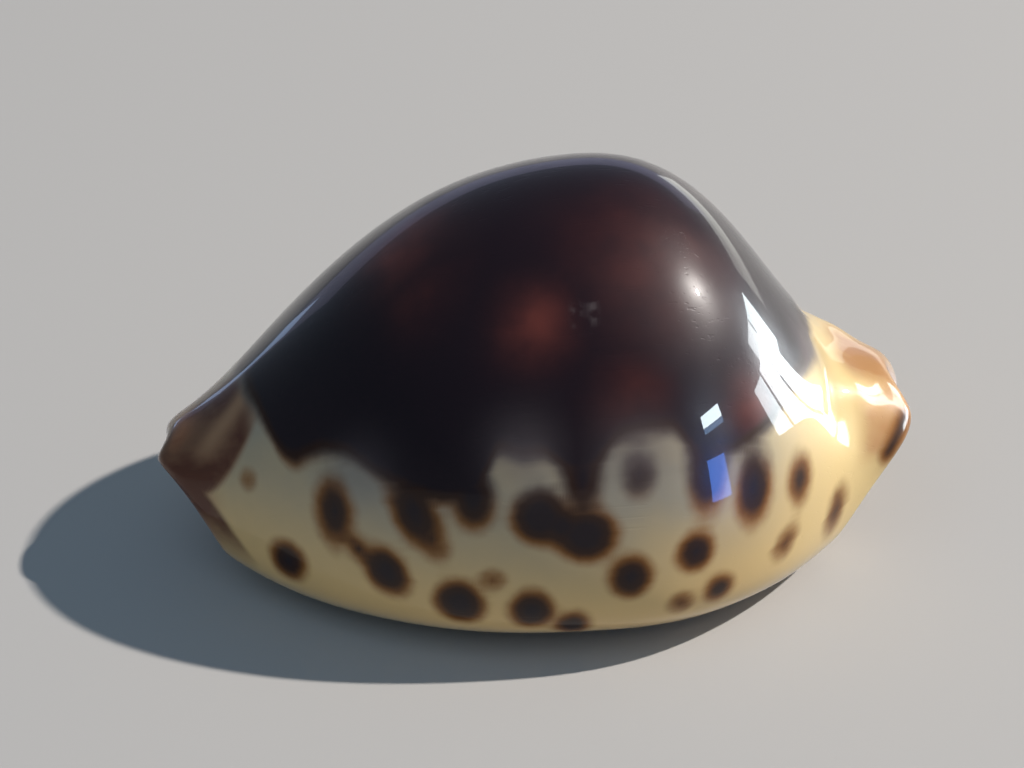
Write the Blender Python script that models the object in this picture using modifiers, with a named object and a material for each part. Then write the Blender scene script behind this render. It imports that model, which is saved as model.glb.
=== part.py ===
"""A cowrie shell: one hollow body with a toothed slit along its base.

The shell lies on its base. +X is the spire end, -X the front end, +Z is up and z = 0 is the
surface it rests on. The inner lip faces -Y and the outer lip faces +Y. The origin is under the
middle of the shell's bounding box.

The wall is a loft between unlike sections: an outer skin and an inner skin, joined at the lips
and at both ends, which Subdivision Surface rounds. The hollow narrows at each end to a canal
between two lobes. Thin discs joined across the lips make the teeth, and a flat cut makes the
spots that the shell rests on.
"""
import bmesh
import bpy
import numpy as np

MM = 0.001

# Driving dimensions, in millimetres.
LENGTH = 80.0
WIDTH = 52.0
HEIGHT = 43.5
BACK_WALL = 2.4
LIP_WALL = 4.6
CANAL_WIDTH = 3.2
CANAL_LENGTH = 5.0
CANAL_FLARE = 22.0
LIP_LIFT = 1.4

# How far the coarse wall stands outside the finished one at its ends, sides and crest, in
# millimetres, because Subdivision Surface pulls it in.
END_ALLOWANCE = 0.55
SIDE_ALLOWANCE = 0.4
CREST_ALLOWANCE = 0.75

# The section at each place along the shell. Places are fractions of LENGTH, the two half widths
# are fractions of WIDTH, and the heights of the crest, the widest point and the base are
# fractions of HEIGHT.
SECTIONS = (
    # along, inner side, outer side, crest, widest, base
    (-0.510, 0.062, 0.086, 0.330, 0.262, 0.205),
    (-0.462, 0.118, 0.128, 0.386, 0.250, 0.134),
    (-0.412, 0.184, 0.186, 0.466, 0.238, 0.070),
    (-0.337, 0.288, 0.288, 0.606, 0.234, 0.018),
    (-0.225, 0.398, 0.402, 0.798, 0.246, -0.018),
    (-0.100, 0.474, 0.474, 0.940, 0.258, -0.032),
    (0.037, 0.500, 0.500, 1.004, 0.262, -0.034),
    (0.162, 0.484, 0.492, 0.976, 0.264, -0.032),
    (0.275, 0.402, 0.434, 0.794, 0.264, -0.016),
    (0.350, 0.308, 0.330, 0.598, 0.266, 0.012),
    (0.406, 0.224, 0.238, 0.488, 0.272, 0.058),
    (0.456, 0.180, 0.190, 0.446, 0.280, 0.118),
    (0.510, 0.126, 0.132, 0.404, 0.284, 0.194),
)
# The slit between the lips: its middle across the shell and its width, in millimetres.
SLIT = (
    # along, middle, width
    (-0.510, 0.4, 3.2),
    (-0.425, 1.0, 4.0),
    (-0.275, 2.4, 6.0),
    (-0.062, 3.6, 5.6),
    (0.150, 3.0, 5.0),
    (0.325, 0.6, 4.2),
    (0.425, -1.0, 3.4),
    (0.510, -1.4, 3.2),
)
UPPER_ROUNDNESS = 2.0
LOWER_ROUNDNESS = 2.9

# How far each end is set back from the tips of its lobes, in millimetres: at the notch in its
# back, and under its sides. The lips reach a little further. A lobe's angle runs round the
# section from the crest, in degrees.
FRONT_NOTCH = 3.2
FRONT_UNDERCUT = 7.0
FRONT_LOBE_ANGLE = 46.0
REAR_NOTCH = 2.0
REAR_UNDERCUT = 9.0
REAR_LOBE_ANGLE = 58.0
LIP_REACH = 1.5

# The coarse grid that the wall is lofted on.
RINGS = 25
POINTS_ROUND = 17

# Teeth, in millimetres, and their rows: the lip's side, and where the row starts and ends as
# fractions of LENGTH.
TOOTH_RISE = 0.6
TOOTH_THICKNESS = 1.6
TOOTH_PITCH = 3.0
TOOTH_ROWS = (
    (1, -0.34, 0.33),
    (-1, -0.34, -0.18),
    (-1, 0.14, 0.32),
)
TOOTH_SEGMENTS = 8
TOOTH_RINGS = 6

SHELL_COLOUR = (0.030, 0.014, 0.012, 1.0)
SHELL_ROUGHNESS = 0.08


def clear_scene():
    for item in list(bpy.data.objects):
        bpy.data.objects.remove(item, do_unlink=True)


def new_collection(name):
    collection = bpy.data.collections.new(name)
    bpy.context.scene.collection.children.link(collection)
    return collection


def smooth_step(low, high, value):
    """0 below low, 1 above high, with no corner between."""
    share = np.clip((value - low) / (high - low), 0.0, 1.0)
    return share * share * (3.0 - 2.0 * share)


def blend(first, second, share):
    return first + (second - first) * share


def spline(table, column, along):
    """The natural cubic spline through one column of a table, read at along."""
    rows = np.array(table)
    knots = rows[:, 0]
    values = rows[:, column]
    spans = np.diff(knots)
    slopes = np.diff(values) / spans
    count = len(knots)
    matrix = np.eye(count)
    right_side = np.zeros(count)
    for row in range(1, count - 1):
        matrix[row, row - 1] = spans[row - 1]
        matrix[row, row] = 2.0 * (spans[row - 1] + spans[row])
        matrix[row, row + 1] = spans[row]
        right_side[row] = 6.0 * (slopes[row] - slopes[row - 1])
    bend = np.linalg.solve(matrix, right_side)
    span = np.clip(np.searchsorted(knots, along) - 1, 0, count - 2)
    step = along - knots[span]
    start = slopes[span] - spans[span] * (2.0 * bend[span] + bend[span + 1]) / 6.0
    cubic = (bend[span + 1] - bend[span]) / (6.0 * spans[span])
    return values[span] + step * (start + step * (bend[span] / 2.0 + step * cubic))


def end_setback(angle, notch, undercut, lobe_angle):
    """How far an end lies behind its lobes' tips, at an angle round the section."""
    away = np.abs(angle)
    lobe = np.radians(lobe_angle)
    over_notch = notch * (1.0 - smooth_step(0.0, lobe, away))
    under_side = undercut * smooth_step(lobe, np.radians(150.0), away)
    return over_notch + under_side - LIP_REACH * smooth_step(np.radians(130.0), np.pi, away)


def loft_places():
    """The angle round the section and the place along the shell, for each point of the grid."""
    share, angle = np.meshgrid(
        np.linspace(0.0, 1.0, RINGS),
        np.linspace(-np.pi, np.pi, POINTS_ROUND),
        indexing="ij",
    )
    reach = LENGTH / 2.0 + END_ALLOWANCE
    front = -reach + end_setback(angle, FRONT_NOTCH, FRONT_UNDERCUT, FRONT_LOBE_ANGLE)
    rear = reach - end_setback(angle, REAR_NOTCH, REAR_UNDERCUT, REAR_LOBE_ANGLE)
    return angle, blend(front, rear, share)


def section(angle, sides, heights, lips, middle):
    """Points on rounded sections, each wider above than below its widest point."""
    inner_side, outer_side = sides
    crest, widest, base = heights
    away = np.abs(angle)
    below = smooth_step(np.radians(50.0), np.radians(130.0), away)
    outward = smooth_step(np.radians(-60.0), np.radians(60.0), angle)
    power = blend(UPPER_ROUNDNESS, LOWER_ROUNDNESS, below)
    radius = (np.abs(np.cos(angle)) ** power + np.abs(np.sin(angle)) ** power) ** (-1.0 / power)
    across = radius * np.sin(angle)
    to_lip = below * (1.0 - across ** 2)
    rise = blend(crest - widest, widest - base, below)
    y = lips * to_lip + middle * (1.0 - to_lip) + blend(inner_side, outer_side, outward) * across
    return y, widest + rise * radius * np.cos(angle)


def wall_skins():
    """The wall's outer and inner skins, as grids of points in millimetres."""
    angle, x = loft_places()
    along = x / LENGTH
    inner_side = WIDTH * spline(SECTIONS, 1, along) + SIDE_ALLOWANCE
    outer_side = WIDTH * spline(SECTIONS, 2, along) + SIDE_ALLOWANCE
    crest = HEIGHT * spline(SECTIONS, 3, along) + CREST_ALLOWANCE
    widest = HEIGHT * spline(SECTIONS, 4, along)
    base = HEIGHT * spline(SECTIONS, 5, along)
    middle = spline(SLIT, 1, along)
    lips = middle + np.sign(angle) * spline(SLIT, 2, along) / 2.0
    y, z = section(angle, (inner_side, outer_side), (crest, widest, base), lips, 0.0)
    lift = LIP_LIFT * smooth_step(np.radians(155.0), np.radians(180.0), np.abs(angle))
    outer_skin = np.stack([x, y, z + lift], axis=-1)

    pinch = 1.0 - smooth_step(CANAL_LENGTH, CANAL_FLARE, LENGTH / 2.0 - np.abs(x))
    hollow_sides = (
        blend(inner_side - BACK_WALL, CANAL_WIDTH / 2.0, pinch),
        blend(outer_side - BACK_WALL, CANAL_WIDTH / 2.0, pinch),
    )
    roof = crest - BACK_WALL
    floor = base + LIP_WALL
    hollow_heights = (roof, blend(floor, roof, 0.33), floor)
    y, z = section(angle, hollow_sides, hollow_heights, lips, middle * pinch)
    inner_skin = np.stack([x, y, z + lift], axis=-1)
    return outer_skin, inner_skin


def grid_faces(columns, rows, start, flip):
    """The quads of a grid of points whose numbers begin at start."""
    faces = []
    for ring in range(columns - 1):
        for step in range(rows - 1):
            corner = start + ring * rows + step
            face = (corner, corner + rows, corner + rows + 1, corner + 1)
            faces.append(face[::-1] if flip else face)
    return faces


def rim_faces(columns, rows):
    """The quads that join the two skins round the lips and the ends."""
    inner = columns * rows
    front = [step for step in range(rows)]
    outer_lip = [ring * rows + rows - 1 for ring in range(columns)]
    rear = [(columns - 1) * rows + step for step in reversed(range(rows))]
    inner_lip = [ring * rows for ring in reversed(range(columns))]
    faces = []
    for edge in (front, outer_lip, rear, inner_lip):
        for first, second in zip(edge, edge[1:]):
            faces.append((first, second, second + inner, first + inner))
    return faces


def make_shell(collection):
    """The wall, rounded by Subdivision Surface."""
    outer_skin, inner_skin = wall_skins()
    columns, rows, _ = outer_skin.shape
    points = np.concatenate([outer_skin.reshape(-1, 3), inner_skin.reshape(-1, 3)])
    faces = grid_faces(columns, rows, 0, False)
    faces += grid_faces(columns, rows, columns * rows, True)
    faces += rim_faces(columns, rows)
    mesh = bpy.data.meshes.new("cowrie_shell")
    mesh.from_pydata([tuple(point) for point in points * MM], [], faces)
    mesh.shade_smooth()
    shell = bpy.data.objects.new("cowrie_shell", mesh)
    collection.objects.link(shell)
    rounding = shell.modifiers.new("rounding", "SUBSURF")
    rounding.levels = 1
    rounding.render_levels = 1
    return shell


def tooth_places():
    """The middle of each tooth's disc, in millimetres."""
    inset = LIP_WALL / 2.0
    for side, start, end in TOOTH_ROWS:
        count = int(round((end - start) * LENGTH / TOOTH_PITCH)) + 1
        for along in np.linspace(start, end, count):
            lip = spline(SLIT, 1, along) + side * spline(SLIT, 2, along) / 2.0
            base = HEIGHT * spline(SECTIONS, 5, along)
            yield along * LENGTH, lip + side * inset, base + LIP_LIFT + inset


def make_teeth(collection):
    """All the teeth, as discs that stand across the lips."""
    builder = bmesh.new()
    reach = (LIP_WALL / 2.0 + TOOTH_RISE) * MM
    for place in tooth_places():
        disc = bmesh.ops.create_uvsphere(
            builder, u_segments=TOOTH_SEGMENTS, v_segments=TOOTH_RINGS, radius=1.0,
        )
        bmesh.ops.scale(builder, vec=(TOOTH_THICKNESS / 2.0 * MM, reach, reach), verts=disc["verts"])
        bmesh.ops.translate(builder, vec=[value * MM for value in place], verts=disc["verts"])
    mesh = bpy.data.meshes.new("teeth")
    builder.to_mesh(mesh)
    builder.free()
    teeth = bpy.data.objects.new("teeth", mesh)
    collection.objects.link(teeth)
    return teeth


def make_ground(collection):
    """A block whose top is the surface that the shell rests on."""
    builder = bmesh.new()
    bmesh.ops.create_cube(builder, size=2.0 * LENGTH * MM)
    bmesh.ops.translate(builder, vec=(0.0, 0.0, -LENGTH * MM), verts=builder.verts)
    mesh = bpy.data.meshes.new("ground")
    builder.to_mesh(mesh)
    builder.free()
    ground = bpy.data.objects.new("ground", mesh)
    collection.objects.link(ground)
    return ground


def combine(shell, tool, operation):
    """Join a tool to the shell or cut it away, and keep the tool out of the model."""
    tool.hide_render = True
    tool.display_type = "WIRE"
    step = shell.modifiers.new(tool.name, "BOOLEAN")
    step.object = tool
    step.operation = operation


def polish(shell):
    material = bpy.data.materials.new("polished_shell")
    material.use_nodes = True
    surface = material.node_tree.nodes["Principled BSDF"]
    surface.inputs["Base Color"].default_value = SHELL_COLOUR
    surface.inputs["Roughness"].default_value = SHELL_ROUGHNESS
    surface.inputs["Metallic"].default_value = 0.0
    shell.data.materials.append(material)


def main():
    clear_scene()
    model = new_collection("cowrie_shell")
    cutters = new_collection("cutters")
    shell = make_shell(model)
    combine(shell, make_teeth(cutters), "UNION")
    combine(shell, make_ground(cutters), "DIFFERENCE")
    polish(shell)


main()
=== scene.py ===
"""A polished cowrie shell on a pale floor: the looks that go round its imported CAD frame.

Lengths here are millimetres until a mesh, lamp or camera is made. +X is the spire end, -X the
front end, -Y the inner lip's side and +Y the outer lip's side, as in the CAD frame.
"""

import math

import bmesh
import bpy
import numpy as np
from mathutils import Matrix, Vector


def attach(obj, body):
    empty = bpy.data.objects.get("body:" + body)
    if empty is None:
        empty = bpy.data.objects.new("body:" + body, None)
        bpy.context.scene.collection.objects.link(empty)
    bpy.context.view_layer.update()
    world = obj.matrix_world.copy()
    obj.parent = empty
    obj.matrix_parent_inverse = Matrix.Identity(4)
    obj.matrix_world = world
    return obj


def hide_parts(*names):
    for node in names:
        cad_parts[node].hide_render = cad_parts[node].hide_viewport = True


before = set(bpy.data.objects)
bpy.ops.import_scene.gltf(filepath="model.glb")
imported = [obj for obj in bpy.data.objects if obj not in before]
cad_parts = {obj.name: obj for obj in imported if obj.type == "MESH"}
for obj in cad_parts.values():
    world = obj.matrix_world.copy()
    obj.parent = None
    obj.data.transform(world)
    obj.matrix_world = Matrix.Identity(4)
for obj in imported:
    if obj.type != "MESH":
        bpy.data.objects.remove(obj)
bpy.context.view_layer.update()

MM = 0.001

# ---------------------------------------------------------------- the shell's form

# Driving dimensions, in millimetres.
LENGTH = 80.0
WIDTH = 52.0
HEIGHT = 43.5
BACK_WALL = 2.4
LIP_WALL = 4.6
CANAL_WIDTH = 3.2
CANAL_LENGTH = 5.0
CANAL_FLARE = 22.0
LIP_LIFT = 1.4
END_ALLOWANCE = 0.35
SIDE_ALLOWANCE = 0.25
CREST_ALLOWANCE = 0.45

# The section at each place along the shell, as fractions of LENGTH, WIDTH and HEIGHT.
SECTIONS = (
    # along, inner side, outer side, crest, widest, base
    (-0.510, 0.062, 0.080, 0.340, 0.285, 0.205),
    (-0.462, 0.118, 0.124, 0.392, 0.264, 0.134),
    (-0.412, 0.184, 0.186, 0.466, 0.238, 0.070),
    (-0.337, 0.288, 0.288, 0.606, 0.234, 0.018),
    (-0.225, 0.398, 0.402, 0.798, 0.246, -0.018),
    (-0.100, 0.474, 0.474, 0.940, 0.258, -0.032),
    (0.037, 0.500, 0.500, 1.004, 0.262, -0.034),
    (0.162, 0.484, 0.492, 0.976, 0.264, -0.032),
    (0.275, 0.402, 0.434, 0.794, 0.264, -0.016),
    (0.350, 0.308, 0.330, 0.598, 0.266, 0.012),
    (0.406, 0.224, 0.238, 0.488, 0.272, 0.058),
    (0.456, 0.180, 0.190, 0.446, 0.280, 0.118),
    (0.510, 0.126, 0.132, 0.404, 0.284, 0.194),
)
# The slit's middle across the shell and its width, in millimetres.
SLIT = (
    # along, middle, width
    (-0.510, 0.4, 3.2),
    (-0.425, 1.0, 4.0),
    (-0.275, 2.4, 6.0),
    (-0.062, 3.6, 5.6),
    (0.150, 3.0, 5.0),
    (0.325, 0.6, 4.2),
    (0.425, -1.0, 3.4),
    (0.510, -1.4, 3.2),
)
UPPER_ROUNDNESS = 2.0
LOWER_ROUNDNESS = 2.9
FRONT_NOTCH = 1.3
FRONT_UNDERCUT = 6.2
FRONT_LOBE_ANGLE = 46.0
REAR_NOTCH = 2.0
REAR_UNDERCUT = 9.0
REAR_LOBE_ANGLE = 58.0
LIP_REACH = 1.5
OUTER_LOBE_SETBACK = 1.2

RINGS = 33
POINTS_ROUND = 21
FINE_LEVEL = 3

# Teeth: how far they rise, their pitch, how far they run out over the base, and their rows.
TOOTH_RISE = 0.75
TOOTH_PITCH = 2.9
TOOTH_RUN = 4.5
TOOTH_ROWS = (
    # side, start, end, rise
    (1, -0.38, 0.37, 1.0),
    (-1, -0.38, -0.17, 0.8),
    (-1, -0.17, 0.12, 0.45),
    (-1, 0.12, 0.36, 0.7),
)
FLOOR_SOFTNESS = 0.12
# Swellings of the knob at the rear end, and the folds between it and the back.
# Each swelling has a middle, a radius and a rise, each fold two ends, a half width and a depth.
SWELLINGS = (
    # middle, radius, rise
    ((33.0, -6.6, 19.8), 3.0, 0.9),
    ((33.2, 6.4, 19.4), 3.0, 0.7),
)
FOLDS = (
    # start, end, half width, depth
    ((29.2, -2.6, 24.5), (30.2, -10.2, 20.4), 0.9, 0.28),
    ((29.2, 3.4, 24.3), (30.4, 11.0, 19.6), 0.9, 0.26),
)


def smooth_step(low, high, value):
    """0 below low, 1 above high, with no corner between."""
    share = np.clip((value - low) / (high - low), 0.0, 1.0)
    return share * share * (3.0 - 2.0 * share)


def blend(first, second, share):
    return first + (second - first) * share


def spline(table, column, along):
    """The natural cubic spline through one column of a table, read at along."""
    rows = np.array(table)
    knots = rows[:, 0]
    values = rows[:, column]
    spans = np.diff(knots)
    slopes = np.diff(values) / spans
    count = len(knots)
    matrix = np.eye(count)
    right_side = np.zeros(count)
    for row in range(1, count - 1):
        matrix[row, row - 1] = spans[row - 1]
        matrix[row, row] = 2.0 * (spans[row - 1] + spans[row])
        matrix[row, row + 1] = spans[row]
        right_side[row] = 6.0 * (slopes[row] - slopes[row - 1])
    bend = np.linalg.solve(matrix, right_side)
    span = np.clip(np.searchsorted(knots, along) - 1, 0, count - 2)
    step = along - knots[span]
    start = slopes[span] - spans[span] * (2.0 * bend[span] + bend[span + 1]) / 6.0
    cubic = (bend[span + 1] - bend[span]) / (6.0 * spans[span])
    return values[span] + step * (start + step * (bend[span] / 2.0 + step * cubic))


def end_setback(angle, notch, undercut, lobe_angle):
    """How far an end lies behind its lobes' tips, at an angle round the section."""
    away = np.abs(angle)
    lobe = np.radians(lobe_angle)
    over_notch = notch * (1.0 - smooth_step(0.0, lobe, away))
    under_side = undercut * smooth_step(lobe, np.radians(150.0), away)
    return over_notch + under_side - LIP_REACH * smooth_step(np.radians(130.0), np.pi, away)


def loft_places():
    """The angle round the section and the place along the shell, for each point of the grid."""
    share, angle = np.meshgrid(
        np.linspace(0.0, 1.0, RINGS),
        np.linspace(-np.pi, np.pi, POINTS_ROUND),
        indexing="ij",
    )
    reach = LENGTH / 2.0 + END_ALLOWANCE
    front = -reach + end_setback(angle, FRONT_NOTCH, FRONT_UNDERCUT, FRONT_LOBE_ANGLE)
    front += OUTER_LOBE_SETBACK * smooth_step(0.0, np.radians(50.0), angle)
    rear = reach - end_setback(angle, REAR_NOTCH, REAR_UNDERCUT, REAR_LOBE_ANGLE)
    return angle, blend(front, rear, share)


def section(angle, sides, heights, lips, middle):
    """Points on rounded sections, each wider above than below its widest point."""
    inner_side, outer_side = sides
    crest, widest, base = heights
    away = np.abs(angle)
    below = smooth_step(np.radians(50.0), np.radians(130.0), away)
    outward = smooth_step(np.radians(-60.0), np.radians(60.0), angle)
    power = blend(UPPER_ROUNDNESS, LOWER_ROUNDNESS, below)
    radius = (np.abs(np.cos(angle)) ** power + np.abs(np.sin(angle)) ** power) ** (-1.0 / power)
    across = radius * np.sin(angle)
    to_lip = below * (1.0 - across ** 2)
    rise = blend(crest - widest, widest - base, below)
    y = lips * to_lip + middle * (1.0 - to_lip) + blend(inner_side, outer_side, outward) * across
    return y, widest + rise * radius * np.cos(angle)


def wall_skins():
    """The wall's outer and inner skins, as grids of points in millimetres."""
    angle, x = loft_places()
    along = x / LENGTH
    inner_side = WIDTH * spline(SECTIONS, 1, along) + SIDE_ALLOWANCE
    outer_side = WIDTH * spline(SECTIONS, 2, along) + SIDE_ALLOWANCE
    crest = HEIGHT * spline(SECTIONS, 3, along) + CREST_ALLOWANCE
    widest = HEIGHT * spline(SECTIONS, 4, along)
    base = HEIGHT * spline(SECTIONS, 5, along)
    middle = spline(SLIT, 1, along)
    lips = middle + np.sign(angle) * spline(SLIT, 2, along) / 2.0
    y, z = section(angle, (inner_side, outer_side), (crest, widest, base), lips, 0.0)
    lift = LIP_LIFT * smooth_step(np.radians(155.0), np.radians(180.0), np.abs(angle))
    outer_skin = np.stack([x, y, z + lift], axis=-1)

    pinch = 1.0 - smooth_step(CANAL_LENGTH, CANAL_FLARE, LENGTH / 2.0 - np.abs(x))
    hollow_sides = (
        blend(inner_side - BACK_WALL, CANAL_WIDTH / 2.0, pinch),
        blend(outer_side - BACK_WALL, CANAL_WIDTH / 2.0, pinch),
    )
    roof = crest - BACK_WALL
    floor = base + LIP_WALL
    hollow_heights = (roof, blend(floor, roof, 0.33), floor)
    y, z = section(angle, hollow_sides, hollow_heights, lips, middle * pinch)
    inner_skin = np.stack([x, y, z + lift], axis=-1)
    return outer_skin, inner_skin


def grid_faces(columns, rows, start, flip):
    """The quads of a grid of points whose numbers begin at start."""
    faces = []
    for ring in range(columns - 1):
        for step in range(rows - 1):
            corner = start + ring * rows + step
            face = (corner, corner + rows, corner + rows + 1, corner + 1)
            faces.append(face[::-1] if flip else face)
    return faces


def rim_faces(columns, rows):
    """The quads that join the two skins round the lips and the ends."""
    inner = columns * rows
    front = list(range(rows))
    outer_lip = [ring * rows + rows - 1 for ring in range(columns)]
    rear = [(columns - 1) * rows + step for step in reversed(range(rows))]
    inner_lip = [ring * rows for ring in reversed(range(columns))]
    faces = []
    for edge in (front, outer_lip, rear, inner_lip):
        for first, second in zip(edge, edge[1:]):
            faces.append((first, second, second + inner, first + inner))
    return faces


def add_point_values(mesh, name, values):
    layer = mesh.attributes.new(name, "FLOAT", "POINT")
    layer.data.foreach_set("value", values.astype(np.float32))


def point_values(mesh, name):
    values = np.empty(len(mesh.vertices), dtype=np.float32)
    mesh.attributes[name].data.foreach_get("value", values)
    return values.astype(float)


def coarse_shell():
    """The wall as a coarse cage that carries its place round the section and its depth."""
    outer_skin, inner_skin = wall_skins()
    columns, rows, _ = outer_skin.shape
    points = np.concatenate([outer_skin.reshape(-1, 3), inner_skin.reshape(-1, 3)])
    faces = grid_faces(columns, rows, 0, False)
    faces += grid_faces(columns, rows, columns * rows, True)
    faces += rim_faces(columns, rows)
    mesh = bpy.data.meshes.new("polished_cowrie")
    mesh.from_pydata([tuple(point) for point in points * MM], [], faces)
    angle, _ = loft_places()
    add_point_values(mesh, "angle", np.tile(np.degrees(angle).reshape(-1), 2))
    add_point_values(mesh, "inside", np.repeat([0.0, 1.0], columns * rows))
    return mesh


def fine_mesh(mesh, level):
    """A mesh subdivided and rounded, with the modifier applied."""
    holder = bpy.data.objects.new("cage", mesh)
    bpy.context.scene.collection.objects.link(holder)
    rounding = holder.modifiers.new("rounding", "SUBSURF")
    rounding.levels = level
    rounding.render_levels = level
    depsgraph = bpy.context.evaluated_depsgraph_get()
    fine = bpy.data.meshes.new_from_object(holder.evaluated_get(depsgraph))
    bpy.data.objects.remove(holder)
    bpy.data.meshes.remove(mesh)
    return fine


def tooth_wave(along, start, end):
    """Rounded ridges with narrower grooves between, fading out at both ends of the row."""
    phase = np.cos(2.0 * np.pi * (along - start * LENGTH) / TOOTH_PITCH)
    ridge = smooth_step(-0.7, 0.9, phase)
    fade = smooth_step(start * LENGTH - 2.0, start * LENGTH + 2.0, along)
    return ridge * fade * (1.0 - smooth_step(end * LENGTH - 2.0, end * LENGTH + 2.0, along))


def raise_teeth(points):
    """Push the rolled edges of the lips out into ridges that run across them."""
    x, y, z = points.T
    along = x / LENGTH
    base = HEIGHT * spline(SECTIONS, 5, along)
    raised = points.copy()
    groove = np.zeros(len(points))
    for side, start, end, rise in TOOTH_ROWS:
        edge = spline(SLIT, 1, along) + side * spline(SLIT, 2, along) / 2.0
        offset_y = y - (edge + side * LIP_WALL / 2.0)
        offset_z = z - (base + LIP_LIFT + LIP_WALL / 2.0)
        reach = np.hypot(offset_y, offset_z)
        near = 1.0 - smooth_step(LIP_WALL / 2.0 + 0.4, TOOTH_RUN, reach)
        facing = smooth_step(-TOOTH_RUN, -0.5, -side * offset_y - 1.2)
        wave = tooth_wave(x, start, end)
        push = TOOTH_RISE * rise * wave * near * facing
        row = smooth_step(start * LENGTH - 2.0, start * LENGTH + 2.0, x)
        row *= 1.0 - smooth_step(end * LENGTH - 2.0, end * LENGTH + 2.0, x)
        groove = np.maximum(groove, (row - wave) * near * facing)
        raised[:, 1] += push * offset_y / reach
        raised[:, 2] += push * offset_z / reach
    return raised, groove


def distance_to(points, centre):
    return np.linalg.norm(points - np.array(centre), axis=1)


def segment_distance(points, start, end):
    start = np.array(start)
    span = np.array(end) - start
    share = np.clip((points - start) @ span / (span @ span), 0.0, 1.0)
    return np.linalg.norm(points - start - share[:, None] * span, axis=1)


def swell_knob(points, normals, outside):
    """Round out the knob at the rear and press in the folds beside it."""
    rise = np.zeros(len(points))
    for middle, radius, height in SWELLINGS:
        rise += height * np.exp(-(distance_to(points, middle) / radius) ** 2)
    for start, end, half_width, depth in FOLDS:
        rise -= depth * np.exp(-(segment_distance(points, start, end) / half_width) ** 2)
    return points + normals * (rise * outside)[:, None]


def settle(points):
    """Flatten the lowest places softly where they rest on the floor."""
    settled = points.copy()
    z = points[:, 2]
    settled[:, 2] = (z + np.sqrt(z * z + FLOOR_SOFTNESS ** 2)) / 2.0
    return settled


# ---------------------------------------------------------------- the shell's pattern

# The near side's pattern follows the photo. Most of its spots' places, and some other
# places below, were worked out by a separate projection program, whose figures were typed
# in here and partly adjusted. They are not a free choice of the script's author.
# The far side's pattern was made up.

# Dark spots on the sides. A strength below 1 leaves a spot faint and brown, with no dark heart.
NEAR_SPOTS = (
    # along, height, half length, half height, lean, strength
    (-27.2, 8.9, 1.9, 2.1, 0.0, 1.0),
    (-22.3, 16.3, 1.6, 3.2, 0.0, 1.0),
    (-20.2, 13.2, 1.0, 2.4, 48.0, 0.8),
    (-17.6, 11.0, 2.2, 2.8, 24.0, 1.0),
    (-14.6, 18.9, 2.1, 3.6, 18.0, 1.0),
    (-13.0, 16.2, 1.4, 2.3, 20.0, 0.5),
    (-8.8, 20.2, 2.1, 3.0, 0.0, 1.0),
    (-10.4, 8.7, 2.4, 2.6, 0.0, 1.0),
    (-7.2, 11.8, 1.2, 1.1, 30.0, 0.35),
    (-3.3, 8.2, 2.1, 2.4, 0.0, 1.0),
    (1.1, 6.1, 1.6, 1.9, 0.0, 0.9),
    (-2.5, 19.7, 2.8, 2.8, 0.0, 1.0),
    (-0.1, 18.7, 2.3, 2.0, 0.0, 1.0),
    (2.3, 17.6, 3.0, 2.8, 0.0, 1.0),
    (2.0, 22.6, 1.8, 3.6, 0.0, 1.0),
    (6.8, 12.1, 2.0, 2.2, 0.0, 1.0),
    (13.5, 13.9, 1.8, 2.0, 0.0, 0.9),
    (16.3, 8.5, 1.5, 1.6, 20.0, 0.9),
    (12.2, 7.9, 1.3, 1.3, 0.0, 0.45),
    (19.9, 19.0, 1.9, 3.9, 0.0, 1.0),
    (14.7, 22.6, 2.1, 4.2, 0.0, 1.0),
    (7.6, 23.0, 1.5, 2.0, 0.0, 0.9),
    (25.4, 17.0, 1.3, 2.2, 0.0, 0.9),
    (23.8, 10.5, 1.3, 1.8, -25.0, 0.5),
    (30.3, 9.7, 1.0, 2.2, -12.0, 0.7),
    (-30.8, 16.2, 0.7, 0.8, 0.0, 0.3),
)
FAR_SPOTS = (
    # along, height, half length, half height, lean, strength
    (-28.4, 10.6, 1.6, 1.9, 0.0, 1.0),
    (-23.8, 15.6, 1.9, 2.7, -20.0, 1.0),
    (-22.4, 8.1, 1.8, 2.0, 0.0, 0.8),
    (-17.1, 12.3, 2.3, 2.5, 15.0, 1.0),
    (-12.9, 18.4, 2.0, 3.3, 0.0, 1.0),
    (-11.0, 8.2, 2.2, 2.3, 0.0, 1.0),
    (-5.6, 13.4, 2.0, 2.2, 0.0, 0.9),
    (-4.2, 20.8, 2.4, 3.0, 0.0, 1.0),
    (-1.5, 7.4, 1.8, 2.0, 0.0, 1.0),
    (2.6, 15.7, 2.5, 2.7, 20.0, 1.0),
    (7.7, 9.3, 2.1, 2.3, 0.0, 1.0),
    (8.9, 20.6, 2.2, 3.4, 0.0, 1.0),
    (13.8, 14.6, 1.8, 2.1, 0.0, 1.0),
    (16.5, 8.0, 1.5, 1.7, 0.0, 0.6),
    (18.7, 20.2, 1.9, 3.3, -10.0, 1.0),
    (22.6, 12.8, 1.7, 2.1, 0.0, 0.9),
    (26.9, 17.2, 1.3, 2.1, 0.0, 0.9),
    (29.3, 9.4, 1.3, 1.8, 10.0, 0.6),
)
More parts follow.
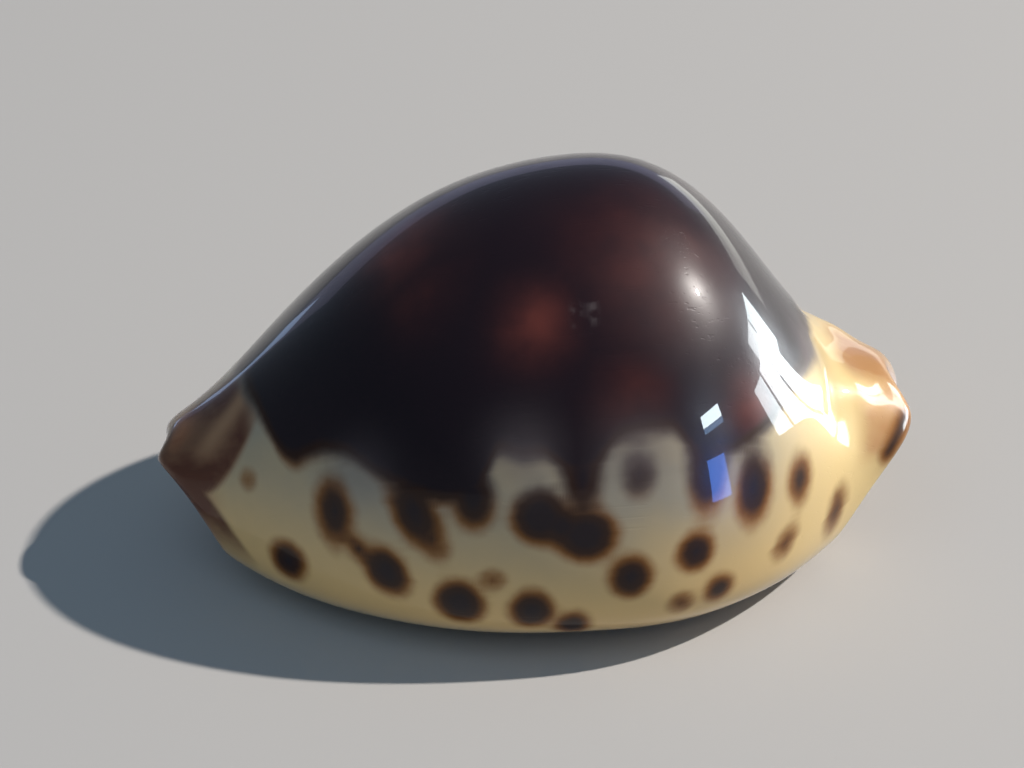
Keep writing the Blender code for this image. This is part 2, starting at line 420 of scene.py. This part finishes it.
# The lower edge of the dark back on each side, in millimetres.
NEAR_BORDER = (
    # along, height
    (-32.0, 22.6),
    (-29.0, 22.0),
    (-27.6, 19.8),
    (-26.4, 19.1),
    (-25.2, 19.8),
    (-24.0, 21.4),
    (-20.5, 22.2),
    (-17.6, 20.8),
    (-12.0, 19.6),
    (-8.0, 20.8),
    (-7.2, 24.4),
    (-5.8, 25.6),
    (-4.2, 24.4),
    (-2.2, 25.2),
    (-0.6, 24.6),
    (0.4, 22.8),
    (3.2, 23.2),
    (4.8, 26.0),
    (8.0, 26.8),
    (12.0, 26.4),
    (13.4, 23.2),
    (17.6, 22.8),
    (21.8, 23.4),
    (24.5, 25.0),
    (30.0, 24.6),
)
FAR_BORDER = (
    # along, height
    (-30.0, 21.6),
    (-26.0, 20.2),
    (-21.5, 22.8),
    (-16.0, 21.4),
    (-9.0, 24.6),
    (-3.0, 23.0),
    (4.0, 25.4),
    (11.0, 23.4),
    (17.0, 24.8),
    (24.0, 23.6),
    (30.0, 24.2),
)
BACK_START = -31.6
BACK_END = 29.2
BORDER_ROUNDING = 1.1
BORDER_MERGE = 1.5
SPOT_MERGE = 0.9
# How much a spot of no strength shrinks, and how deep the pattern's stored depth may reach.
FAINT_SHRINK = 0.45
DEEPEST = 4.0
# The front end's stains run in stripes that lean by this many degrees of section per millimetre.
STRIPE_LEAN = 5.1
STRIPE_MIDDLE = -1.0
STRIPE_HALF_WIDTH = 9.0
STRIPE_BROWN = 0.95
STRIPE_GAP = 0.68
STAIN_END = (-31.5, -28.5)
FACE_EDGE = -39.3
# Soft places where the dark enamel thins to a translucent red brown.
GLOWS = (
    # along, across, height, radius, strength
    (-14.0, -1.5, 37.0, 5.0, 0.8),
    (-2.0, -15.5, 36.0, 3.6, 1.0),
    (-11.5, -8.0, 35.0, 4.0, 0.5),
    (11.5, -10.5, 39.5, 7.5, 0.55),
    (20.3, -17.5, 26.5, 3.4, 0.9),
    (7.5, -19.5, 29.5, 3.6, 0.6),
    (-10.0, 14.0, 33.0, 5.0, 0.7),
    (6.0, 18.0, 33.0, 5.5, 0.8),
    (18.0, 9.0, 36.0, 5.0, 0.7),
)
# Soft places where a thin milky layer lies over the pattern. The last is a painted
# highlight: a pale haze round the sun's glint on the back.
VEILS_AND_GLINT_HAZE = (
    # along, across, height, radius, strength
    (-3.4, -20.4, 24.6, 3.6, 1.0),
    (7.6, -21.8, 24.6, 4.4, 0.7),
    (-20.0, -18.5, 22.0, 3.4, 0.45),
    (11.0, 21.5, 24.5, 4.6, 0.7),
    (-8.5, 21.0, 23.0, 4.6, 0.7),
    (27.8, -5.0, 25.2, 3.2, 0.85),
    # Painted highlight: a pale haze round the sun's glint, not a milky layer.
    (15.0, -12.5, 37.0, 7.0, 0.6),
)
# A small scuffed ring on the back: its middle, radius and line width.
# The middle was written in by a program, from the ring's place in the photo.
SCUFF_MIDDLE = (3.1, -15.6, 37.0)
SCUFF_RADIUS = 1.05
SCUFF_WIDTH = 0.36
# Dark bars on the rear knob: their ends and half width.
KNOB_BARS = (
    ((38.9, -6.4, 16.2), (36.6, -9.4, 13.7), 0.8),
)
# Soft brown places round the knob.
KNOB_SHADES = (
    # along, across, height, radius, strength
    (37.2, -7.6, 14.6, 3.4, 0.75),
    (36.4, 9.6, 12.0, 3.0, 0.45),
)


def smooth_max(first, second, reach):
    """The larger of two fields, with a rounded join where they come close."""
    share = np.clip(0.5 + 0.5 * (first - second) / reach, 0.0, 1.0)
    return blend(second, first, share) + reach * share * (1.0 - share)


def place_on(points, side, along, height):
    """The point of one side of the shell nearest to a place along it and a height."""
    away = np.hypot(points[:, 0] - along, points[:, 2] - height)
    away[points[:, 1] * side < 0.0] = np.inf
    return points[np.argmin(away)]


def spot_depth(points, centre, half_length, half_height, lean, strength):
    """How deep each point lies inside a spot, in millimetres; below zero outside it."""
    step = points - centre
    round_section = np.hypot(step[:, 1], step[:, 2]) * np.sign(step[:, 2])
    turn = math.radians(lean)
    wide = step[:, 0] * math.cos(turn) + round_section * math.sin(turn)
    tall = round_section * math.cos(turn) - step[:, 0] * math.sin(turn)
    depth = 1.0 - np.hypot(wide / half_length, tall / half_height)
    depth = depth * min(half_length, half_height)
    return np.where(depth > 0.0, depth * strength, depth) - FAINT_SHRINK * (1.0 - strength)


def border_height(along, border):
    """The height of a border at each place along it, with its corners rounded."""
    places, heights = np.array(border).T
    shifts = np.linspace(-BORDER_ROUNDING, BORDER_ROUNDING, 7)
    return np.mean([np.interp(along + shift, places, heights) for shift in shifts], axis=0)


def pigment_depth(points, outside):
    """How deep each point lies inside the dark pattern, in millimetres."""
    skin = points[outside]
    depth = np.full(len(points), -10.0)
    for side, border, spots in ((-1.0, NEAR_BORDER, NEAR_SPOTS), (1.0, FAR_BORDER, FAR_SPOTS)):
        edge = border_height(points[:, 0], border)
        back = (points[:, 2] - edge) * 1.1
        for limit in (points[:, 0] - BACK_START, BACK_END - points[:, 0]):
            back = -smooth_max(-back, -limit, BORDER_MERGE)
        for along, height, *form in spots:
            centre = place_on(skin, side, along, height)
            back = smooth_max(back, spot_depth(points, centre, *form), SPOT_MERGE)
        here = points[:, 1] * side >= 0.0
        depth[here] = back[here]
    return np.clip(depth, -DEEPEST, DEEPEST)


def soft_places(points, places):
    """The strongest of several soft round places, from 0 to 1."""
    total = np.zeros(len(points))
    for along, across, height, radius, strength in places:
        away = distance_to(points, (along, across, height)) / radius
        total = np.maximum(total, strength * np.exp(-away ** 2))
    return total


def front_stains(points, angle):
    """Where the front end is tan, and where brown stripes and a dark end face lie over that."""
    x = points[:, 0]
    stripe = angle + 16.0 - STRIPE_LEAN * (x + 30.7)
    edge = -23.5 + 2.2 * (x + 29.3)
    end = 1.0 - smooth_step(*STAIN_END, x)
    tan = smooth_step(-4.0, 4.0, stripe - edge) * (1.0 - smooth_step(0.0, 16.0, angle)) * end
    gap = np.exp(-((stripe - STRIPE_MIDDLE) / STRIPE_HALF_WIDTH) ** 2) * smooth_step(-37.0, -34.0, x)
    stripes = tan * (STRIPE_BROWN - STRIPE_GAP * gap)
    face = 1.0 - smooth_step(-0.6, 0.6, x - FACE_EDGE - 0.125 * np.clip(-angle - 42.0, 0.0, 70.0))
    face *= 0.10 + 0.90 * smooth_step(4.5, 10.5, points[:, 2])
    low = (1.0 - smooth_step(-36.0, -32.8, x)) * (1.0 - smooth_step(-80.0, -60.0, angle))
    far_side = (1.0 - smooth_step(-35.5, -31.0, x)) * smooth_step(-2.0, 14.0, angle)
    far_brown = far_side * (0.42 + 0.4 * smooth_step(25.0, 50.0, angle))
    tan = np.maximum.reduce([tan, 0.8 * low, 0.9 * far_side])
    return tan, np.maximum.reduce([stripes, face, 0.12 * low, far_brown])


def rear_stain(points, angle):
    """Amber over the knob at the rear end, fading towards the fold."""
    x = points[:, 0]
    knob = smooth_step(31.4, 34.2, x + 0.9 * np.cos(np.radians(angle * 3.0)))
    shoulder = np.exp(-((np.abs(angle) - 33.0) / 9.0) ** 2)
    knob *= 1.0 - 0.75 * shoulder * (1.0 - smooth_step(34.0, 38.5, x))
    return knob * smooth_step(-84.0, -66.0, angle) * (1.0 - smooth_step(66.0, 84.0, angle))


def paint_values(points, angle, outside):
    """The named values from 0 to 1, and the depth in millimetres, that the material reads."""
    depth = pigment_depth(points, outside)
    for start, end, radius in KNOB_BARS:
        depth = smooth_max(depth, radius - segment_distance(points, start, end), SPOT_MERGE)
    height = points[:, 2]
    tan, brown = front_stains(points, angle)
    ring = np.abs(distance_to(points, SCUFF_MIDDLE) - SCUFF_RADIUS) / SCUFF_WIDTH
    return {
        "scuff": np.exp(-ring ** 2),
        "pigment": depth,
        "glow": soft_places(points, GLOWS),
        "veil_and_glint_haze": soft_places(points, VEILS_AND_GLINT_HAZE),
        "front_tan": tan,
        "end_brown": np.maximum(brown, soft_places(points, KNOB_SHADES)),
        "rear_stain": rear_stain(points, angle),
        "upper": smooth_step(7.0, 22.5, height),
        "high": smooth_step(17.5, 22.5, height),
        "rear": smooth_step(16.0, 33.0, points[:, 0]),
        "below": 1.0 - smooth_step(0.5, 6.5, height),
    }


# ---------------------------------------------------------------- the shell's material

CREAM = (0.67, 0.475, 0.215)
PALE_UPPER = (0.35, 0.315, 0.25)
WARM_YELLOW = (0.82, 0.62, 0.30)
BASE_CREAM = (0.66, 0.55, 0.38)
HALO_BROWN = (0.24, 0.090, 0.014)
HALO_GREY = (0.13, 0.10, 0.08)
DARK_BROWN = (0.026, 0.008, 0.003)
BLACK_BROWN = (0.011, 0.005, 0.009)
GLOW_RED = (0.12, 0.029, 0.023)
# Milky tint of the veils and the scuff, also the colour of the painted highlight haze round the
# glint.
MILK_AND_HAZE = (0.150, 0.125, 0.131)
FRONT_TAN = (0.42, 0.24, 0.13)
STAIN_BROWN = (0.105, 0.038, 0.022)
AMBER = (0.46, 0.235, 0.095)
INSIDE_PALE = (0.56, 0.53, 0.56)
GROOVE_TAN = (0.36, 0.22, 0.10)
GROOVE_STRENGTH = 0.75
VEIL_AND_HAZE_STRENGTH = 0.9
SCUFF_STRENGTH = 0.38
ENAMEL_IOR = 1.22
COAT_IOR = 1.25
COAT_ROUGHNESS = 0.015
SCRATCH_DEPTH = -0.030
BUMP_DISTANCE = 0.00022


def put(tree, socket, value):
    """Link a node's output to a socket, or set the socket to a plain value."""
    if isinstance(value, bpy.types.NodeSocket):
        tree.links.new(value, socket)
    elif isinstance(value, tuple) and len(value) == 3 and socket.type == "RGBA":
        socket.default_value = (*value, 1.0)
    else:
        socket.default_value = value


def calculate(tree, operation, *values):
    node = tree.nodes.new("ShaderNodeMath")
    node.operation = operation
    for socket, value in zip(node.inputs, values):
        put(tree, socket, value)
    return node.outputs["Value"]


def mix(tree, share, first, second):
    node = tree.nodes.new("ShaderNodeMix")
    node.data_type = "RGBA"
    put(tree, node.inputs[0], share)
    put(tree, node.inputs[6], first)
    put(tree, node.inputs[7], second)
    return node.outputs[2]


def spread(tree, value, low, high, start=0.0, end=1.0):
    """A value eased from start at low to end at high."""
    node = tree.nodes.new("ShaderNodeMapRange")
    node.interpolation_type = "SMOOTHSTEP"
    for name, setting in (("Value", value), ("From Min", low), ("From Max", high)):
        put(tree, node.inputs[name], setting)
    put(tree, node.inputs["To Min"], start)
    put(tree, node.inputs["To Max"], end)
    return node.outputs["Result"]


def read_value(tree, name):
    node = tree.nodes.new("ShaderNodeAttribute")
    node.attribute_name = name
    return node.outputs["Fac"]


def noise(tree, place, scale, detail=2.0):
    node = tree.nodes.new("ShaderNodeTexNoise")
    put(tree, node.inputs["Vector"], place)
    node.inputs["Scale"].default_value = scale
    node.inputs["Detail"].default_value = detail
    return node.outputs["Fac"]


def stretch(tree, place, turn, factors):
    node = tree.nodes.new("ShaderNodeMapping")
    put(tree, node.inputs["Vector"], place)
    node.inputs["Rotation"].default_value = turn
    node.inputs["Scale"].default_value = factors
    return node.outputs["Vector"]


def ground_colour(tree, place):
    """Cream enamel: paler and greyer towards the back, warm at the rear, stained at the ends."""
    cloud = noise(tree, place, 90.0, 3.0)
    patchy = spread(tree, cloud, 0.2, 0.8, 0.7, 1.15)
    upper = calculate(tree, "MULTIPLY", read_value(tree, "upper"), patchy)
    colour = mix(tree, upper, CREAM, PALE_UPPER)
    colour = mix(tree, read_value(tree, "rear"), colour, WARM_YELLOW)
    colour = mix(tree, read_value(tree, "below"), colour, BASE_CREAM)
    grooves = calculate(tree, "MULTIPLY", read_value(tree, "groove"), GROOVE_STRENGTH)
    colour = mix(tree, grooves, colour, GROOVE_TAN)
    grain = noise(tree, stretch(tree, place, (0.0, 0.0, 0.2), (60.0, 260.0, 260.0)), 1.0, 3.0)
    streaks = spread(tree, grain, 0.3, 0.7, 0.75, 1.1)
    colour = mix(tree, read_value(tree, "front_tan"), colour, FRONT_TAN)
    brown = calculate(tree, "MULTIPLY", read_value(tree, "end_brown"), streaks)
    colour = mix(tree, brown, colour, STAIN_BROWN)
    amber = calculate(tree, "MULTIPLY", read_value(tree, "rear_stain"), streaks)
    return mix(tree, amber, colour, AMBER)


def shell_colour(tree, place):
    """The dark pattern over the ground, its haloes, thin red places, milky veils and a painted
    highlight haze round the glint.
    """
    coarse = calculate(tree, "SUBTRACT", noise(tree, place, 260.0, 2.0), 0.5)
    fine = calculate(tree, "SUBTRACT", noise(tree, place, 1100.0, 3.0), 0.5)
    depth = calculate(tree, "MULTIPLY_ADD", coarse, 0.8, read_value(tree, "pigment"))
    depth = calculate(tree, "MULTIPLY_ADD", fine, 0.2, depth)
    colour = ground_colour(tree, place)
    halo = mix(tree, read_value(tree, "high"), HALO_BROWN, HALO_GREY)
    colour = mix(tree, spread(tree, depth, -1.20, 0.30), colour, halo)
    colour = mix(tree, spread(tree, depth, -0.38, 0.86), colour, DARK_BROWN)
    heart = spread(tree, depth, 0.7, 1.8)
    colour = mix(tree, heart, colour, BLACK_BROWN)
    mottle = spread(tree, noise(tree, place, 120.0, 3.0), 0.35, 0.7, 0.35, 1.0)
    glow = calculate(tree, "MULTIPLY", read_value(tree, "glow"), mottle)
    glow = calculate(tree, "MULTIPLY", glow, heart)
    colour = mix(tree, glow, colour, GLOW_RED)
    thinning = spread(tree, depth, -0.2, 2.8, 1.0, 0.6)
    # Veils lighten towards milk; one of them is a painted highlight haze round the glint.
    veil_and_glint_haze = calculate(tree, "MULTIPLY", read_value(tree, "veil_and_glint_haze"), thinning)
    colour = mix(tree, calculate(tree, "MULTIPLY", veil_and_glint_haze, VEIL_AND_HAZE_STRENGTH), colour, MILK_AND_HAZE)
    worn = spread(tree, noise(tree, place, 700.0, 2.0), 0.42, 0.62)
    scuff = calculate(tree, "MULTIPLY", read_value(tree, "scuff"), worn)
    colour = mix(tree, calculate(tree, "MULTIPLY", scuff, SCUFF_STRENGTH), colour, MILK_AND_HAZE)
    return mix(tree, read_value(tree, "inside"), colour, INSIDE_PALE)


def scratch_lines(tree, place, turn):
    """Thin, long, sparse lines running one way."""
    lines = noise(tree, stretch(tree, place, turn, (70.0, 2600.0, 2600.0)), 1.0, 1.0)
    return spread(tree, lines, 0.67, 0.75)


def shell_bump(tree, place):
    """Faint undulation under the polish, and hairline scratches in it."""
    waves = noise(tree, place, 85.0, 1.0)
    lines = calculate(tree, "ADD", scratch_lines(tree, place, (0.3, 0.2, 0.9)),
                      scratch_lines(tree, place, (-0.4, 0.7, -0.6)))
    height = calculate(tree, "MULTIPLY_ADD", lines, SCRATCH_DEPTH, waves)
    node = tree.nodes.new("ShaderNodeBump")
    node.inputs["Strength"].default_value = 1.0
    node.inputs["Distance"].default_value = BUMP_DISTANCE
    put(tree, node.inputs["Height"], height)
    return node.outputs["Normal"]


def make_shell_material():
    material = bpy.data.materials.new("polished_cowrie_enamel")
    material.use_nodes = True
    tree = material.node_tree
    surface = tree.nodes["Principled BSDF"]
    place = tree.nodes.new("ShaderNodeTexCoord").outputs["Object"]
    put(tree, surface.inputs["Base Color"], shell_colour(tree, place))
    put(tree, surface.inputs["Normal"], shell_bump(tree, place))
    haze = spread(tree, noise(tree, place, 150.0, 4.0), 0.3, 0.8, 0.30, 0.42)
    put(tree, surface.inputs["Roughness"], haze)
    surface.inputs["IOR"].default_value = ENAMEL_IOR
    surface.inputs["Coat Weight"].default_value = 1.0
    surface.inputs["Coat IOR"].default_value = COAT_IOR
    surface.inputs["Coat Roughness"].default_value = COAT_ROUGHNESS
    return material


def make_shell():
    mesh = fine_mesh(coarse_shell(), FINE_LEVEL)
    points = np.empty(len(mesh.vertices) * 3, dtype=np.float32)
    mesh.vertices.foreach_get("co", points)
    points = points.reshape(-1, 3).astype(float) / MM
    normals = np.empty(len(mesh.vertices) * 3, dtype=np.float32)
    mesh.vertex_normals.foreach_get("vector", normals)
    outside = point_values(mesh, "inside") < 0.01
    points = swell_knob(points, normals.reshape(-1, 3).astype(float), outside)
    raised, groove = raise_teeth(points)
    points = settle(raised)
    add_point_values(mesh, "groove", groove)
    angle = point_values(mesh, "angle")
    for name, values in paint_values(points, angle, outside).items():
        add_point_values(mesh, name, values)
    mesh.vertices.foreach_set("co", (points * MM).reshape(-1).astype(np.float32))
    mesh.update()
    mesh.shade_smooth()
    mesh.materials.append(make_shell_material())
    shell = bpy.data.objects.new("polished_cowrie", mesh)
    bpy.context.scene.collection.objects.link(shell)
    return shell


FLOOR_HALF_SIZE = 3.0
FLOOR_COLOUR = (0.475, 0.465, 0.465, 1.0)
FLOOR_ROUGHNESS = 0.8


def make_floor():
    builder = bmesh.new()
    bmesh.ops.create_grid(builder, x_segments=1, y_segments=1, size=FLOOR_HALF_SIZE)
    mesh = bpy.data.meshes.new("floor")
    builder.to_mesh(mesh)
    builder.free()
    floor = bpy.data.objects.new("floor", mesh)
    bpy.context.scene.collection.objects.link(floor)
    material = bpy.data.materials.new("pale_floor")
    material.use_nodes = True
    surface = material.node_tree.nodes["Principled BSDF"]
    surface.inputs["Base Color"].default_value = FLOOR_COLOUR
    surface.inputs["Roughness"].default_value = FLOOR_ROUGHNESS
    surface.inputs["Specular IOR Level"].default_value = 0.0
    mesh.materials.append(material)


# ---------------------------------------------------------------- camera and light

# Angles are in degrees, the distance, lens and aim in millimetres.
CAMERA_AZIMUTH = -7.0
CAMERA_HEIGHT = 35.0
CAMERA_DISTANCE = 330.0
CAMERA_LENS = 105.8
AIM_UP = 16.2
AIM_RIGHT = -2.4

SKY_COLOUR = (0.60, 0.80, 1.0, 1.0)
SKY_STRENGTH = 0.20
# Lamps that light the shell and the floor without showing in the polish.
# The key's direction is a program's fit to the photo's shadow, adjusted.
LAMPS = (
    # name, (azimuth, elevation), distance, size, watts, colour
    ("key", (88.0, 44.5), 2.0, (0.045, 0.045), 50.0, (1.0, 0.93, 0.84)),
    ("fill", (-35.0, 55.0), 1.5, (1.6, 1.2), 3.4, (0.55, 0.78, 1.0)),
)
# Cards that show only as reflections in the polish. Their directions were set
# with the help of mirror directions that a program printed.
REFLECTION_CARDS = (
    # name, (azimuth, elevation), distance, size, watts, colour
    ("sun_spot", (94.0, 33.0), 2.00, (0.045, 0.045), 70.0, (1.0, 0.95, 0.90)),
    ("window_left", (88.0, 5.2), 0.25, (0.038, 0.044), 0.14, (0.86, 0.96, 1.0)),
    ("window_middle", (98.5, 5.4), 0.25, (0.042, 0.046), 0.16, (0.95, 0.98, 1.0)),
    ("window_right", (109.0, 5.6), 0.25, (0.038, 0.046), 0.14, (0.90, 0.97, 1.0)),
    ("small_window", (55.0, 12.2), 0.40, (0.085, 0.024), 0.48, (0.78, 0.92, 1.0)),
    ("small_window_sill", (55.0, 9.6), 0.40, (0.085, 0.010), 0.04, (0.35, 0.60, 1.0)),
    ("window_foot", (47.3, 8.6), 0.087, (0.012, 0.018), 0.020, (0.10, 0.28, 1.0)),
    ("side_window", (142.0, 4.0), 0.35, (0.18, 0.050), 0.045, (0.90, 0.92, 0.86)),
    ("far_window", (-146.0, 5.0), 0.40, (0.04, 0.030), 0.008, (0.45, 0.65, 1.0)),
    ("rear_pane_left", (93.6, 22.0), 0.088, (0.013, 0.016), 0.0115, (0.93, 0.98, 1.0)),
    ("rear_pane_right", (103.8, 22.0), 0.088, (0.013, 0.016), 0.0115, (0.86, 0.97, 1.0)),
    ("far_wall", (180.0, 9.0), 0.60, (0.9, 0.14), 0.15, (0.68, 0.64, 1.0)),
)


def direction(azimuth, elevation):
    """The unit vector towards a place round the shell: azimuth 0 is the -Y side."""
    turn = math.radians(azimuth)
    lift = math.radians(elevation)
    flat = math.cos(lift)
    return Vector((math.sin(turn) * flat, -math.cos(turn) * flat, math.sin(lift)))


def make_camera():
    back = direction(CAMERA_AZIMUTH, CAMERA_HEIGHT)
    right = Vector((0.0, 0.0, 1.0)).cross(back).normalized()
    up = back.cross(right)
    eye = back * CAMERA_DISTANCE * MM
    aim = (up * AIM_UP + right * AIM_RIGHT) * MM
    data = bpy.data.cameras.new("camera")
    data.lens = CAMERA_LENS
    camera = bpy.data.objects.new("camera", data)
    camera.location = eye
    camera.rotation_euler = (eye - aim).to_track_quat("Z", "Y").to_euler()
    bpy.context.scene.collection.objects.link(camera)
    bpy.context.scene.camera = camera


def make_area(name, place, distance, size, watts, colour):
    data = bpy.data.lights.new(name, "AREA")
    data.shape = "RECTANGLE"
    data.size, data.size_y = size
    data.energy = watts
    data.color = colour
    lamp = bpy.data.objects.new(name, data)
    back = direction(*place)
    lamp.location = back * distance
    lamp.rotation_euler = back.to_track_quat("Z", "Y").to_euler()
    lamp.visible_camera = False
    bpy.context.scene.collection.objects.link(lamp)
    return lamp


def make_light():
    world = bpy.data.worlds.new("studio")
    world.use_nodes = True
    background = world.node_tree.nodes["Background"]
    background.inputs["Color"].default_value = SKY_COLOUR
    background.inputs["Strength"].default_value = SKY_STRENGTH
    bpy.context.scene.world = world
    for lamp in LAMPS:
        make_area(*lamp).visible_glossy = False
    for card in REFLECTION_CARDS:
        make_area(*card).visible_diffuse = False
    bpy.context.scene.view_settings.view_transform = "Standard"


def main():
    shell = make_shell()
    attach(shell, "root")
    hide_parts("cowrie_shell")
    make_floor()
    make_camera()
    make_light()


main()
